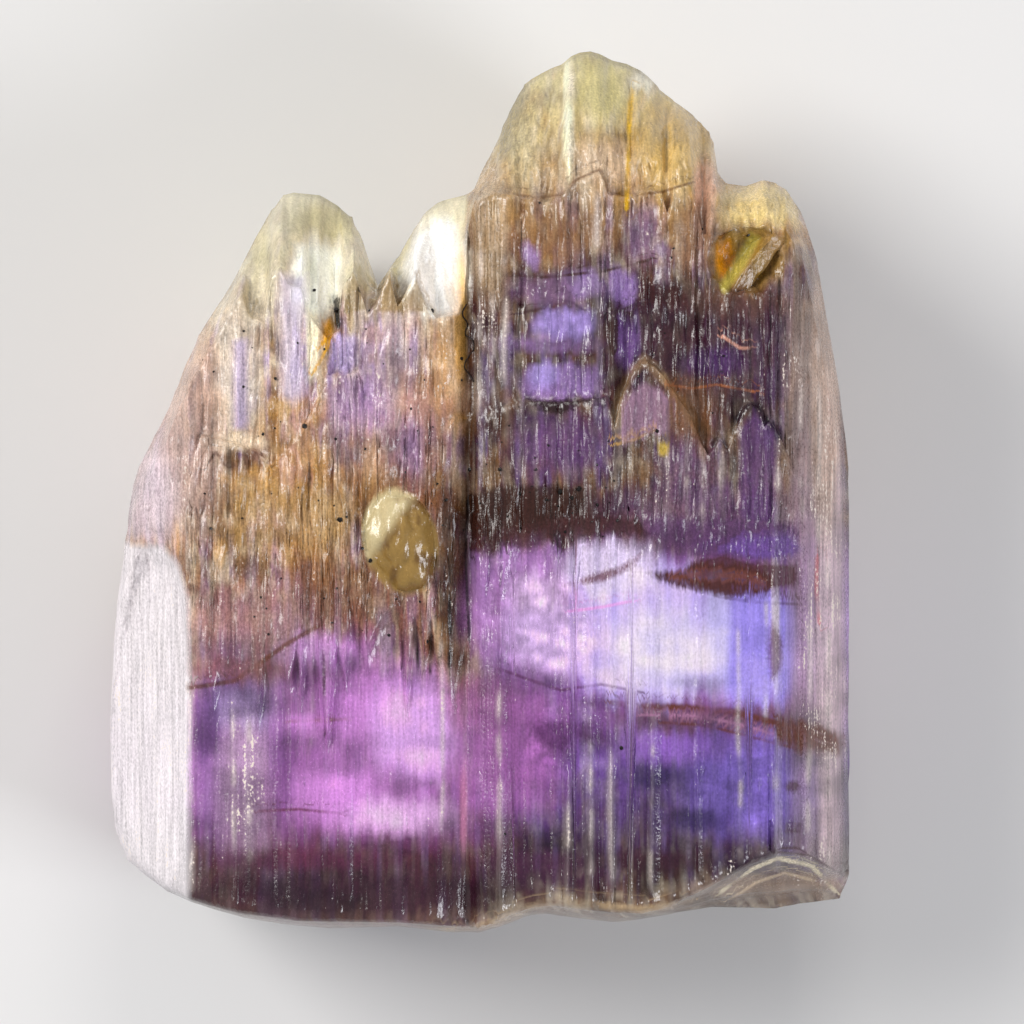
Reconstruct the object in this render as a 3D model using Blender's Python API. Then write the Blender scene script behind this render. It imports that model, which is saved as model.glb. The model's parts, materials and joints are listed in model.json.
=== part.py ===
# A tanzanite crystal group, lying on its flat back with its face up.
# Two blocks of parallel prisms have grown together side by side. Their tips point to +Y, their broken
# foot to -Y, and X runs across the group. Metres, +Z up, Z = 0 at the back face.

import math
import random

import bmesh
import bpy
from mathutils import Matrix, Vector

MM = 0.001

# Driving dimensions, in millimetres
WIDTH = 16.8
LENGTH = 20.0
THICKNESS = 8.1
STATION_STEP = 0.135
CLOSEST_STATIONS = 0.06
LEAST_ROW_GAP = 0.05
STEP_RUN = 0.07
RIDGE_SEED = 11

# Outlines seen from the front, as (x, y) in millimetres from the middle of the group
TIP_LINE = [
    (-8.38, -5.51), (-8.33, -3.35), (-8.10, -1.53), (-7.79, 0.40), (-7.06, 1.78), (-6.70, 2.69),
    (-6.33, 3.55), (-5.97, 4.12), (-5.65, 4.60), (-5.06, 5.75), (-4.70, 6.39), (-4.43, 6.73),
    (-4.20, 6.79), (-3.61, 6.73), (-3.25, 6.53), (-2.88, 6.23), (-2.66, 5.78), (-2.29, 4.69),
    (-1.79, 5.41), (-1.43, 6.03), (-1.20, 6.37), (-0.89, 6.59), (-0.30, 6.74), (-0.11, 6.87),
    (0.39, 7.96), (0.75, 8.75), (0.98, 9.16), (1.20, 9.36), (1.66, 9.61), (1.88, 9.68),
    (2.07, 9.86), (2.29, 9.95), (2.57, 9.98), (2.79, 9.89), (3.02, 9.77), (3.34, 9.70),
    (3.65, 9.55), (3.88, 9.36), (4.11, 9.09), (4.47, 8.82), (4.88, 8.50), (5.20, 8.14),
    (5.33, 7.78), (5.43, 7.00), (5.65, 6.96), (6.02, 6.91), (6.42, 7.05), (6.70, 6.98),
    (6.97, 6.80), (7.20, 6.46), (7.42, 5.87), (7.65, 5.19), (7.83, 4.23), (8.20, 2.26),
    (8.29, 1.42), (8.38, 0.56),
]
FOOT_LINE = [
    (-8.38, -7.25), (-8.29, -7.84), (-8.10, -8.25), (-7.60, -8.66), (-7.06, -9.05), (-6.52, -9.27),
    (-5.97, -9.46), (-5.24, -9.66), (-4.34, -9.80), (-3.38, -9.89), (-1.79, -9.84), (-0.66, -9.98),
    (-0.02, -9.98), (0.57, -9.82), (1.11, -9.59), (1.48, -9.55), (2.29, -9.66), (3.11, -9.75),
    (4.02, -9.61), (5.29, -9.43), (6.74, -9.48), (7.29, -9.36), (8.20, -9.23), (8.38, -8.80),
]
# The front edge of the broken foot, with a deep shell-shaped chip on the right
CHIP_LINE = [
    (-8.38, -6.98), (-8.10, -8.08), (-7.60, -8.48), (-7.06, -8.88), (-6.52, -9.12), (-5.43, -9.42),
    (-4.06, -9.60), (-1.79, -9.64), (0.02, -9.76), (0.59, -9.50), (1.11, -9.30), (1.61, -9.22),
    (2.75, -9.36), (3.65, -9.42), (4.34, -9.22), (5.02, -8.90), (5.58, -8.60), (6.15, -8.28),
    (6.72, -8.10), (7.17, -8.12), (7.63, -8.34), (8.08, -8.55), (8.38, -8.40),
]
# The ragged top edge of the front faces, where the teeth of the prisms end
PICKET_LINE = [
    (-8.40, -5.73), (-8.24, -3.80), (-8.06, -1.99), (-7.83, -0.67), (-7.56, 0.01), (-7.24, 0.67),
    (-6.92, 1.37), (-6.61, 2.15), (-6.33, 2.69), (-6.06, 3.19), (-5.79, 3.60), (-5.52, 4.17),
    (-5.31, 4.44), (-5.15, 3.96), (-4.79, 3.80), (-4.61, 4.94), (-4.45, 5.10), (-4.29, 4.69),
    (-3.97, 4.57), (-3.79, 3.96), (-3.38, 3.42), (-3.16, 3.64), (-3.06, 4.60), (-2.81, 4.98),
    (-2.63, 4.46), (-2.50, 4.01), (-2.25, 4.30), (-1.98, 4.94), (-1.82, 4.17), (-1.70, 4.37),
    (-1.41, 4.89), (-1.16, 4.17), (-0.95, 3.92), (-0.48, 4.01), (-0.34, 4.42), (-0.25, 5.91),
    (-0.11, 6.46), (0.16, 6.64), (0.48, 6.73), (0.77, 6.66), (1.04, 6.57), (1.34, 6.62),
    (1.61, 6.50), (1.91, 6.69), (2.18, 7.00), (2.70, 7.19), (2.93, 6.69), (3.25, 6.62),
    (3.56, 6.69), (3.88, 6.80), (4.09, 6.71), (4.22, 6.28), (4.38, 6.84), (4.72, 6.94),
    (4.84, 6.50), (5.02, 5.78), (5.29, 5.73), (5.93, 5.96), (6.47, 6.05), (6.88, 5.94),
    (7.29, 5.16), (7.56, 3.92), (7.83, 2.44), (8.06, 1.19), (8.22, 0.40), (8.40, -0.85),
]
# The tops of the hooded columns that stand proud on the right block, and the shelves level with them
HOOD_LINE = [
    (-8.40, -4.48), (-7.70, -1.53), (-6.49, 0.28), (-6.22, 1.28), (-5.77, 1.19), (-4.93, 0.92),
    (-4.63, 0.51), (-4.06, 1.19), (-3.34, 2.64), (-2.70, 2.69), (-2.57, 2.10), (-1.34, 2.05),
    (-0.30, 1.65), (-0.02, 1.65), (0.82, 2.05), (2.11, 2.05), (2.88, 2.15), (3.04, 1.46),
    (3.16, 2.05), (3.47, 2.74), (3.70, 2.99), (3.93, 2.87), (4.27, 2.42), (4.72, 1.74),
    (5.11, 0.85), (5.24, 0.96), (5.40, 1.21), (5.56, 0.92), (5.74, 1.42), (5.90, 1.87),
    (6.08, 2.01), (6.29, 1.83), (6.38, 1.49), (6.54, 1.60), (6.77, 1.15), (7.06, 0.33),
    (7.97, -0.17), (8.40, -1.42),
]
# The lower edge of the overgrowth skin, before its drips are added
SKIN_LINE = [
    (-8.40, -3.35), (-8.10, -1.58), (-7.81, -1.19), (-7.13, -1.19), (-6.83, -1.58), (-6.56, -2.26),
    (-6.47, -4.44), (-5.43, -3.92), (-4.29, -3.53), (-2.93, -2.94), (-1.79, -2.55), (-0.89, -3.08),
    (-0.39, -3.35), (-0.20, -2.44), (0.07, -1.53), (0.48, -1.19), (1.84, -0.67), (2.97, -0.62),
    (3.88, -0.85), (5.02, -0.90), (5.77, -0.78), (6.63, -0.78), (6.79, -1.53), (7.29, -1.19),
    (7.97, -0.85), (8.40, -1.99),
]

# Heights above the resting face along X, as (x, z) in millimetres
FRONT_HEIGHT = [
    (-8.40, 4.15), (-6.49, 7.05), (-4.06, 7.30), (-0.89, 7.20), (-0.30, 7.05), (-0.18, 6.80),
    (-0.02, 7.35), (0.48, 7.60), (2.52, 7.75), (3.65, 7.85), (6.38, 7.75), (6.77, 7.60),
    (7.29, 7.10), (7.97, 5.90), (8.40, 4.30),
]
TIP_HEIGHT = [
    (-8.40, 3.95), (-7.81, 4.80), (-6.49, 5.40), (-5.65, 5.20), (-4.93, 4.80), (-4.29, 4.60),
    (-3.16, 4.60), (-2.29, 4.40), (-0.89, 4.60), (0.48, 4.60), (2.02, 4.90), (2.52, 4.90),
    (3.43, 4.70), (5.02, 4.80), (5.47, 5.50), (6.38, 5.60), (7.06, 5.40), (7.74, 4.90),
    (8.40, 4.00),
]
FOOT_HEIGHT = [
    (-8.40, 3.85), (-6.49, 3.60), (-0.20, 3.40), (1.84, 3.90), (4.80, 3.60), (6.38, 2.90),
    (8.40, 3.75),
]
BACK_HEIGHT = [
    (-8.40, 3.45), (-7.47, 1.60), (-6.65, 0.25), (-6.42, 0.0), (6.88, 0.0), (7.29, 0.40),
    (7.97, 1.90), (8.40, 3.50),
]

# How much of something there is along X, as (x, millimetres)
SKIN_THICKNESS = [
    (-8.40, 0.03), (-7.81, 0.50), (-7.13, 0.55), (-6.49, 0.35), (-5.20, 0.22), (-1.79, 0.30),
    (-0.54, 0.30), (-0.30, 0.08), (0.02, 0.10), (2.75, 0.15), (5.02, 0.12), (8.40, 0.02),
]
HOOD_RELIEF = [
    (-6.42, 0.0), (-6.20, 0.22), (-4.93, 0.22), (-4.74, 0.03), (-3.43, 0.03), (-3.29, 0.18),
    (-2.70, 0.18), (-2.52, 0.03), (0.70, 0.03), (0.93, 0.12), (2.88, 0.12), (3.04, 0.15),
    (3.25, 0.32), (5.02, 0.32), (5.20, 0.12), (5.40, 0.20), (5.61, 0.12), (5.88, 0.32),
    (6.74, 0.30), (7.06, 0.08), (8.40, 0.0),
]
PICKET_RELIEF = [
    (-8.40, 0.02), (-7.24, 0.12), (-5.79, 0.22), (-4.79, 0.35), (-0.48, 0.38), (-0.25, 0.15),
    (0.48, 0.20), (4.72, 0.28), (5.29, 0.15), (6.88, 0.12), (8.40, 0.02),
]
TIP_BULGE = [
    (-8.40, 0.05), (-6.49, 0.25), (-4.29, 0.45), (-2.29, 0.15), (-1.20, 0.40), (-0.30, 0.30),
    (0.20, 0.20), (1.30, 0.38), (1.88, 0.42), (2.00, 0.72), (2.14, 0.52), (3.34, 0.50),
    (3.43, 0.36), (3.56, 0.58), (4.70, 0.70), (5.30, 0.55), (5.47, 0.30), (6.42, 0.45),
    (8.40, 0.05),
]
BACK_RUN = [
    (-8.40, 0.30), (-6.49, 1.20), (-4.29, 1.90), (-2.29, 0.90), (-0.89, 1.70), (2.02, 2.60),
    (5.36, 1.80), (6.38, 1.50), (7.29, 1.30), (8.40, 0.30),
]
BACK_FOOT_RUN = [(-8.40, 0.25), (-6.49, 0.55), (-0.20, 0.75), (4.80, 0.50), (8.40, 0.25)]
DRIP_LENGTH = [
    (-8.40, 0.05), (-6.60, 0.15), (-6.40, 0.60), (-3.70, 1.30), (-1.00, 1.10), (0.20, 0.90),
    (1.84, 0.60), (3.20, 0.25), (8.40, 0.15),
]

# Single long drips, ridges and grooves, as x: millimetres
LONG_DRIPS = {-4.90: 0.8, -3.50: 1.7, -3.36: 2.2, -1.62: 1.5, -1.30: 1.2, -0.60: 1.1, 0.48: 1.2}
LOWER_RIDGES = {
    -5.62: 0.05, -4.20: 0.04, 0.48: 0.12, 0.86: 0.06, 2.02: 0.12, 2.52: 0.14, 2.97: 0.12,
    3.88: 0.09, 4.90: 0.05, 6.61: 0.12, 7.40: 0.06,
}
BACK_GROOVES = {
    -5.60: 0.10, -4.50: 0.14, -3.90: 0.08, -2.20: 0.12, -0.20: 0.45, 0.95: 0.10, 1.20: 0.07,
    3.40: 0.12, 4.60: 0.10, 5.90: 0.14,
}
UPPER_ROUGHNESS = 0.055
LOWER_ROUGHNESS = 0.015
TIP_ROUGHNESS = 0.04

# The step near the top of the back face, where the face above stands a little further in
BACK_STEP_LINE = [
    (-8.40, -3.0), (-6.2, 0.4), (-4.1, 2.6), (-2.3, 1.2), (-0.2, 3.4), (2.4, 4.8), (5.2, 2.9), (8.40, -1.5),
]
BACK_STEP_RELIEF = 0.14
BACK_STEP_TEETH = 0.9

# The etch pit in the right shoulder and the thin plate that crosses it
PIT_PLACE = (6.10, 5.20, 8.05)
PIT_SIZE = (2.10, 1.75, 2.00)
PLATE_PLACE = (6.02, 5.16, 7.12)
PLATE_SIZE = (0.34, 1.80, 0.95)
PLATE_TURN = -0.65
PLATE_TILT = 0.55

# How the break runs from the foot (0, 0) to its front edge (1, 1): shell-shaped where it is deep
SCOOP_START = 4.4
SCOOP = [(0.20, 0.10), (0.34, 0.33), (0.58, 0.42), (0.74, 0.66)]
ROUNDED = [(0.04, 0.18), (0.12, 0.40), (0.30, 0.62), (0.55, 0.82)]

# The rounded grain grown on the front
GRAIN_PLACE = (-1.75, -1.10, 7.45)
GRAIN_SIZE = (1.66, 2.34, 1.30)
GRAIN_TURN = 0.26
GRAIN_FACETS = [
    ((-0.55, 0.55, 0.63), 0.78), ((0.45, 0.30, 0.84), 0.86), ((0.10, -0.55, 0.83), 0.84),
    ((-0.75, -0.25, 0.61), 0.80), ((0.90, -0.30, 0.32), 0.88), ((0.20, 0.95, 0.24), 0.90),
]


def on_line(points, x):
    """The height of a line of points at x, straight between the points."""
    if x <= points[0][0]:
        return points[0][1]
    for (x0, y0), (x1, y1) in zip(points, points[1:]):
        if x <= x1:
            return y0 + (y1 - y0) * (x - x0) / (x1 - x0)
    return points[-1][1]


def stations():
    """Where along X the group is cut into profiles: every corner of its outlines, and even steps."""
    first = TIP_LINE[0][0]
    last = TIP_LINE[-1][0]
    count = round((last - first) / STATION_STEP)
    wanted = {first, last}
    for line in (TIP_LINE, PICKET_LINE, HOOD_LINE):
        wanted |= {x for x, _ in line if first < x < last}
    wanted |= set(LONG_DRIPS) | set(LOWER_RIDGES) | set(BACK_GROOVES)
    corners = sorted(wanted)
    chosen = [corners[0]]
    for x in corners[1:-1]:
        if x - chosen[-1] >= CLOSEST_STATIONS and last - x >= CLOSEST_STATIONS:
            chosen.append(x)
    chosen.append(last)
    even = [first + (last - first) * i / count for i in range(1, count)]
    for x in even:
        if min(abs(x - other) for other in chosen) >= STATION_STEP * 0.62:
            chosen.append(x)
    return sorted(chosen)


def near(table, x):
    """The value that a table of single features holds for this station."""
    return next((value for place, value in table.items() if abs(place - x) < CLOSEST_STATIONS / 2), 0.0)


def between(low, high, count):
    """Even values between two ends, without the ends."""
    return [low + (high - low) * (i + 1) / (count + 1) for i in range(count)]


def in_order(values, low, high):
    """Values that rise by at least a small gap, squeezed between low and high where they have to be."""
    gap = min(LEAST_ROW_GAP, (high - low) / (len(values) + 1) * 0.5)
    ordered = list(values)
    top = high
    for i in reversed(range(len(ordered))):
        ordered[i] = min(ordered[i], top - gap)
        top = ordered[i]
    bottom = low
    for i in range(len(ordered)):
        ordered[i] = max(ordered[i], bottom + gap)
        bottom = ordered[i]
    return ordered


def front_rows(x, rng):
    """The (y, z) points up the front of the group, from its foot to its tip."""
    foot = on_line(FOOT_LINE, x)
    tip = on_line(TIP_LINE, x)
    chip = on_line(CHIP_LINE, x)
    foot_z = on_line(FOOT_HEIGHT, x)
    tip_z = on_line(TIP_HEIGHT, x)
    base = on_line(FRONT_HEIGHT, x)
    lower = base + near(LOWER_RIDGES, x) + LOWER_ROUGHNESS * rng.uniform(-1.0, 1.0)
    skin = base + on_line(SKIN_THICKNESS, x) + UPPER_ROUGHNESS * rng.uniform(-1.0, 1.0)
    upper = skin - on_line(HOOD_RELIEF, x)
    above_pickets = upper - on_line(PICKET_RELIEF, x)
    drip = on_line(DRIP_LENGTH, x) * rng.random() ** 2 + near(LONG_DRIPS, x)
    skin_y = on_line(SKIN_LINE, x) - drip
    hood_y = on_line(HOOD_LINE, x)
    picket_y = on_line(PICKET_LINE, x)
    run = STEP_RUN / 2
    edges = in_order(
        [chip, chip + 0.1, skin_y - run, skin_y + run, hood_y - run, hood_y + run,
         picket_y - run, picket_y + run],
        foot, tip,
    )
    chip_y, front_y, skin_low, skin_high, hood_low, hood_high, picket_low, picket_high = edges
    scooped = x > SCOOP_START
    depth = chip_y - foot
    rise = base - 0.12 - foot_z
    mids = SCOOP if scooped else ROUNDED
    rows = [(foot, foot_z)]
    rows += [(foot + depth * along, foot_z + rise * up) for along, up in mids]
    rows += [(chip_y, base - 0.12), (front_y, lower)]
    rows += [(y, lower) for y in between(front_y, skin_low, 4)]
    rows += [(skin_low, lower), (skin_high, skin)]
    rows += [(y, skin) for y in between(skin_high, hood_low, 3)]
    rows += [(hood_low, skin), (hood_high, upper)]
    rows += [(y, upper) for y in between(hood_high, picket_low, 3)]
    rows += [(picket_low, upper), (picket_high, above_pickets)]
    bulge = on_line(TIP_BULGE, x)
    for t in (0.25, 0.5, 0.75):
        z = above_pickets + (tip_z - above_pickets) * t + bulge * math.sin(math.pi * t)
        rows.append((picket_high + (tip - picket_high) * t, z + TIP_ROUGHNESS * rng.uniform(-1.0, 1.0)))
    rows.append((tip, tip_z))
    return rows


def back_rows(x, rng):
    """The (y, z) points down the back, from below the tip to below the foot."""
    foot = on_line(FOOT_LINE, x)
    tip = on_line(TIP_LINE, x)
    tip_z = on_line(TIP_HEIGHT, x)
    foot_z = on_line(FOOT_HEIGHT, x)
    flat = on_line(BACK_HEIGHT, x) + near(BACK_GROOVES, x)
    top = tip - on_line(BACK_RUN, x)
    bottom = foot + on_line(BACK_FOOT_RUN, x)
    step_y = on_line(BACK_STEP_LINE, x) - BACK_STEP_TEETH * rng.random() ** 2
    run = STEP_RUN / 2
    step_low, step_high = in_order([step_y - run, step_y + run], bottom, top)
    inner = flat + BACK_STEP_RELIEF
    rows = []
    for t in (0.30, 0.62, 0.90):
        bulge = 0.35 * on_line(TIP_BULGE, x) * math.sin(math.pi * t)
        rows.append((tip + (top - tip) * t + bulge, tip_z + (inner - tip_z) * t))
    rows += [(y, inner) for y in between(step_high, top, 2)[::-1]]
    rows += [(step_high, inner), (step_low, flat)]
    rows += [(y, flat) for y in between(bottom, step_low, 2)[::-1]]
    rows.append((bottom, flat))
    rows.append((foot + (bottom - foot) * 0.35, flat + (foot_z - flat) * 0.5))
    return rows


def grow_group():
    """The crystal group: a loft through its profiles, which are all of different shapes."""
    rng = random.Random(RIDGE_SEED)
    bm = bmesh.new()
    loops = []
    for x in stations():
        profile = front_rows(x, rng) + back_rows(x, rng)
        loops.append([bm.verts.new(Vector((x, y, z)) * MM) for y, z in profile])
    for left, right in zip(loops, loops[1:]):
        for i in range(len(left)):
            j = (i + 1) % len(left)
            bm.faces.new((left[i], left[j], right[j], right[i]))
    bm.faces.new(loops[0][::-1])
    bm.faces.new(loops[-1])
    fit_to_size(bm)
    bmesh.ops.recalc_face_normals(bm, faces=bm.faces)
    bmesh.ops.triangulate(bm, faces=bm.faces)
    return to_object(bm, "tanzanite_crystal")


def fit_to_size(bm):
    """Scales the loft to the real width, length and thickness, centred over its resting face."""
    lows = [min(vert.co[i] for vert in bm.verts) for i in range(3)]
    highs = [max(vert.co[i] for vert in bm.verts) for i in range(3)]
    middle = Vector(((lows[0] + highs[0]) / 2, (lows[1] + highs[1]) / 2, lows[2]))
    wanted = (WIDTH, LENGTH, THICKNESS)
    scale = Vector([wanted[i] * MM / (highs[i] - lows[i]) for i in range(3)])
    bmesh.ops.translate(bm, vec=-middle, verts=bm.verts)
    bmesh.ops.scale(bm, vec=scale, verts=bm.verts)


def to_object(bm, name):
    mesh = bpy.data.meshes.new(name)
    bm.to_mesh(mesh)
    bm.free()
    return bpy.data.objects.new(name, mesh)


def grow_grain():
    """The rounded grain: a ball pressed flat where it has crystal faces."""
    bm = bmesh.new()
    bmesh.ops.create_icosphere(bm, subdivisions=3, radius=1.0)
    for direction, reach in GRAIN_FACETS:
        normal = Vector(direction).normalized()
        for vert in bm.verts:
            beyond = vert.co.dot(normal) - reach
            if beyond > 0:
                vert.co -= normal * beyond
    bmesh.ops.scale(bm, vec=Vector(GRAIN_SIZE) * MM / 2, verts=bm.verts)
    bmesh.ops.rotate(bm, matrix=Matrix.Rotation(GRAIN_TURN, 3, "Z"), verts=bm.verts)
    grain = to_object(bm, "grain_seed")
    grain.location = Vector(GRAIN_PLACE) * MM
    return grain


def make_pit():
    """What was etched out of the right shoulder: a rounded hollow."""
    bm = bmesh.new()
    bmesh.ops.create_icosphere(bm, subdivisions=2, radius=1.0)
    bmesh.ops.scale(bm, vec=Vector(PIT_SIZE) * MM / 2, verts=bm.verts)
    pit = to_object(bm, "pit_cutter")
    pit.location = Vector(PIT_PLACE) * MM
    return pit


def make_plate():
    """The thin plate left standing across the pit, leaning over."""
    bm = bmesh.new()
    bmesh.ops.create_cube(bm, size=1.0)
    bmesh.ops.scale(bm, vec=Vector(PLATE_SIZE) * MM, verts=bm.verts)
    plate = to_object(bm, "plate_seed")
    plate.location = Vector(PLATE_PLACE) * MM
    plate.rotation_euler = (0.0, PLATE_TILT, PLATE_TURN)
    return plate


def tanzanite_material():
    """Violet, clear and glassy."""
    material = bpy.data.materials.new("tanzanite")
    material.use_nodes = True
    shader = material.node_tree.nodes["Principled BSDF"]
    shader.inputs["Base Color"].default_value = (0.42, 0.30, 0.62, 1.0)
    shader.inputs["Roughness"].default_value = 0.18
    shader.inputs["Metallic"].default_value = 0.0
    shader.inputs["IOR"].default_value = 1.69
    shader.inputs["Transmission Weight"].default_value = 0.5
    return material


def combine(target, tool, operation):
    modifier = target.modifiers.new(tool.name, "BOOLEAN")
    modifier.operation = operation
    modifier.solver = "EXACT"
    modifier.object = tool


def main():
    for old in list(bpy.data.objects):
        bpy.data.objects.remove(old, do_unlink=True)
    parts = bpy.data.collections.new("tanzanite")
    tools = bpy.data.collections.new("tanzanite_tools")
    for collection in (parts, tools):
        bpy.context.scene.collection.children.link(collection)
    crystal = grow_group()
    crystal.data.materials.append(tanzanite_material())
    parts.objects.link(crystal)
    for tool, operation in (
        (make_pit(), "DIFFERENCE"),
        (make_plate(), "UNION"),
        (grow_grain(), "UNION"),
    ):
        tool.hide_render = True
        tool.display_type = "WIRE"
        tools.objects.link(tool)
        combine(crystal, tool, operation)


main()
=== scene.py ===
import json
import math

import bpy
import numpy as np
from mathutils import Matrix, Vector

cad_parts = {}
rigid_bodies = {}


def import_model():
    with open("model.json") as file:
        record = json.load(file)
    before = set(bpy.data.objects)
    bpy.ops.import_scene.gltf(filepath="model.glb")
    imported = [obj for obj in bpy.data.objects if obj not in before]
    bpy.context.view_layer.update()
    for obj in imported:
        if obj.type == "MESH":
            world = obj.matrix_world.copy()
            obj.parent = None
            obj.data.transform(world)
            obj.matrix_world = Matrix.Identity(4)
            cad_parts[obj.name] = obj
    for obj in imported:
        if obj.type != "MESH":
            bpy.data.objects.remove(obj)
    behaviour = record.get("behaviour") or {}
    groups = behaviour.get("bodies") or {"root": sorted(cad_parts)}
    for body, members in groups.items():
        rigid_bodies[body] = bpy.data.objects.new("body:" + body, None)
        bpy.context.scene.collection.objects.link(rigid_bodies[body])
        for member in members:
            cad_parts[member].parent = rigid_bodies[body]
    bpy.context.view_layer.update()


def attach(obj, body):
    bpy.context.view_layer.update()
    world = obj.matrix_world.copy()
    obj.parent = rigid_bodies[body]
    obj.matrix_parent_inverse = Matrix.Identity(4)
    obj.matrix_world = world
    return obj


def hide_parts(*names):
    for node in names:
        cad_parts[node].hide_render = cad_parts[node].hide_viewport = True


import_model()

mm = 0.001

# Places on the crystal are given in pixels of the photograph, which is 1024 pixels wide and high
photo = {
    "side": 1024,
    "pixel": 20.0 / 881 * mm,   # the crystal is 20 mm and 881 pixels tall
    "middleX": 479.0,
    "middleY": 492.5,
}


def toCrystal(px, py):
    return (px - photo["middleX"]) * photo["pixel"], (photo["middleY"] - py) * photo["pixel"]


# Camera, floor and light

viewPoint = {"lens": 400.0, "sensor": 36.0, "sightHeight": 4.6 * mm}


def makeCamera():
    width = photo["side"] * photo["pixel"]
    distance = width * viewPoint["lens"] / viewPoint["sensor"]
    x, y = toCrystal(photo["side"] / 2, photo["side"] / 2)
    bpy.ops.object.camera_add(location=(x, y, viewPoint["sightHeight"] + distance), rotation=(0, 0, 0))
    camera = bpy.context.object
    camera.data.lens = viewPoint["lens"]
    camera.data.sensor_width = viewPoint["sensor"]
    camera.data.clip_start = 0.01
    camera.data.clip_end = 10.0
    bpy.context.scene.camera = camera


studio = {
    "floorColour": (0.70, 0.695, 0.69),
    "floorDrop": 0.05 * mm,
    "floorSide": 0.8,
    "worldColour": (0.86, 0.88, 0.92),
    "worldStrength": 0.36,
    # name: (place in mm, size in mm, watts, colour)
    "lamps": {
        "windowLight": ((-180, 80, 175), 125, 0.58, (1.0, 0.98, 0.95)),
        "sideLight": ((190, -80, 140), 95, 0.30, (0.94, 0.95, 1.0)),
        "topLight": ((30, 205, 160), 95, 0.15, (1.0, 0.97, 0.92)),
    },
}


def plainMaterial(name, colour, roughness):
    material = bpy.data.materials.new(name)
    material.use_nodes = True
    shader = material.node_tree.nodes["Principled BSDF"]
    shader.inputs["Base Color"].default_value = (*colour, 1)
    shader.inputs["Roughness"].default_value = roughness
    return material


def makeStudio():
    bpy.ops.mesh.primitive_plane_add(size=studio["floorSide"], location=(0, 0, -studio["floorDrop"]))
    floor = bpy.context.object
    floor.name = "floor"
    floor.data.materials.append(plainMaterial("paleFloor", studio["floorColour"], 0.8))
    for name, (place, size, watts, colour) in studio["lamps"].items():
        spot = Vector(place) * mm
        bpy.ops.object.light_add(type="AREA", location=spot)
        lamp = bpy.context.object
        lamp.name = name
        lamp.data.size = size * mm
        lamp.data.energy = watts
        lamp.data.color = colour
        lamp.rotation_euler = (Vector((0, 0, 4 * mm)) - spot).to_track_quat("-Z", "Y").to_euler()
    world = bpy.data.worlds.new("softRoom")
    world.use_nodes = True
    background = world.node_tree.nodes["Background"]
    background.inputs["Color"].default_value = (*studio["worldColour"], 1)
    background.inputs["Strength"].default_value = studio["worldStrength"]
    bpy.context.scene.world = world
    bpy.context.scene.view_settings.view_transform = "Standard"


# Noise and fields, worked out for all points of a mesh at once

def smoothStep(values, low, high):
    t = np.clip((values - low) / (high - low), 0, 1)
    return t * t * (3 - 2 * t)


def latticeNoise(ix, iy, seed):
    n = ix.astype(np.int64) * 374761393 + iy.astype(np.int64) * 668265263 + seed * 974634777
    n = ((n ^ (n >> 13)) * 1274126177) & 0xFFFFFFFF
    return ((n ^ (n >> 16)) & 0xFFFF) / 65535.0


def valueNoise(x, y, seed):
    ix, iy = np.floor(x), np.floor(y)
    fx, fy = x - ix, y - iy
    fx, fy = fx * fx * (3 - 2 * fx), fy * fy * (3 - 2 * fy)
    low = latticeNoise(ix, iy, seed) * (1 - fx) + latticeNoise(ix + 1, iy, seed) * fx
    high = latticeNoise(ix, iy + 1, seed) * (1 - fx) + latticeNoise(ix + 1, iy + 1, seed) * fx
    return low * (1 - fy) + high * fy


def cloudNoise(x, y, seed, octaves=4):
    total, weight = 0, 0
    for i in range(octaves):
        total = total + valueNoise(x * 2 ** i, y * 2 ** i, seed + i) * 0.5 ** i
        weight += 0.5 ** i
    return total / weight - 0.5


# Sum of patterns given as (width, length, seed, octaves, amount)
def layeredNoise(x, y, patterns):
    return sum(
        cloudNoise(x / wide, y / long, seed, octaves) * amount
        for wide, long, seed, octaves, amount in patterns
    )


# Distance to a path of straight pieces, and on which side of it each place lies
def nearestOnPath(px, py, points, closed):
    best = np.full(px.shape, 1e9)
    offLine = np.zeros(px.shape)
    side = np.ones(px.shape)
    ends = points[1:] + points[:1] if closed else points[1:]
    for (ax, ay), (bx, by) in zip(points, ends):
        dx, dy = bx - ax, by - ay
        t = np.clip(((px - ax) * dx + (py - ay) * dy) / (dx * dx + dy * dy), 0, 1)
        gap = np.hypot(px - ax - t * dx, py - ay - t * dy)
        across = (dx * (py - ay) - dy * (px - ax)) / math.hypot(dx, dy)
        # at a corner both pieces are as near, and the one seen more from its side decides
        nearer = (gap < best - 1e-6) | ((gap < best + 1e-6) & (np.abs(across) > offLine))
        side = np.where(nearer, np.sign(across), side)
        offLine = np.where(nearer, np.abs(across), offLine)
        best = np.where(nearer, gap, best)
    return best, side


def insideShape(px, py, points):
    crossings = np.zeros(px.shape, bool)
    for (ax, ay), (bx, by) in zip(points, points[1:] + points[:1]):
        if ay == by:
            continue
        spans = (ay > py) != (by > py)
        crossings ^= spans & (px < (bx - ax) * (py - ay) / (by - ay) + ax)
    return crossings


# Values between rows given as (pixel row, value, value, ...)
def alongRows(py, rows):
    heights = [row for row, *values in rows]
    table = np.array([values for row, *values in rows])
    return np.stack([np.interp(py, heights, table[:, k]) for k in range(table.shape[1])], axis=1)


def rgb(red, green, blue):
    return tuple((value / 255) ** 2.2 for value in (red, green, blue))


# The crystal: its solid, cut fine and given its striations and etching

surface = {
    "node": "tanzanite_crystal",
    "across": 0.090 * mm,       # longest edge along X, Y and Z after the cuts
    "along": 0.220 * mm,
    "up": 0.32 * mm,
    "coarser": 3.0,             # how much longer the edges of the back may be
    "backHeight": 2.5 * mm,
    "passes": 12,
    "creaseAngle": 38.0,
    "mergeGap": 0.0005 * mm,
    "clearAbove": 20 * mm,      # a height that is above all of it
}

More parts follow.
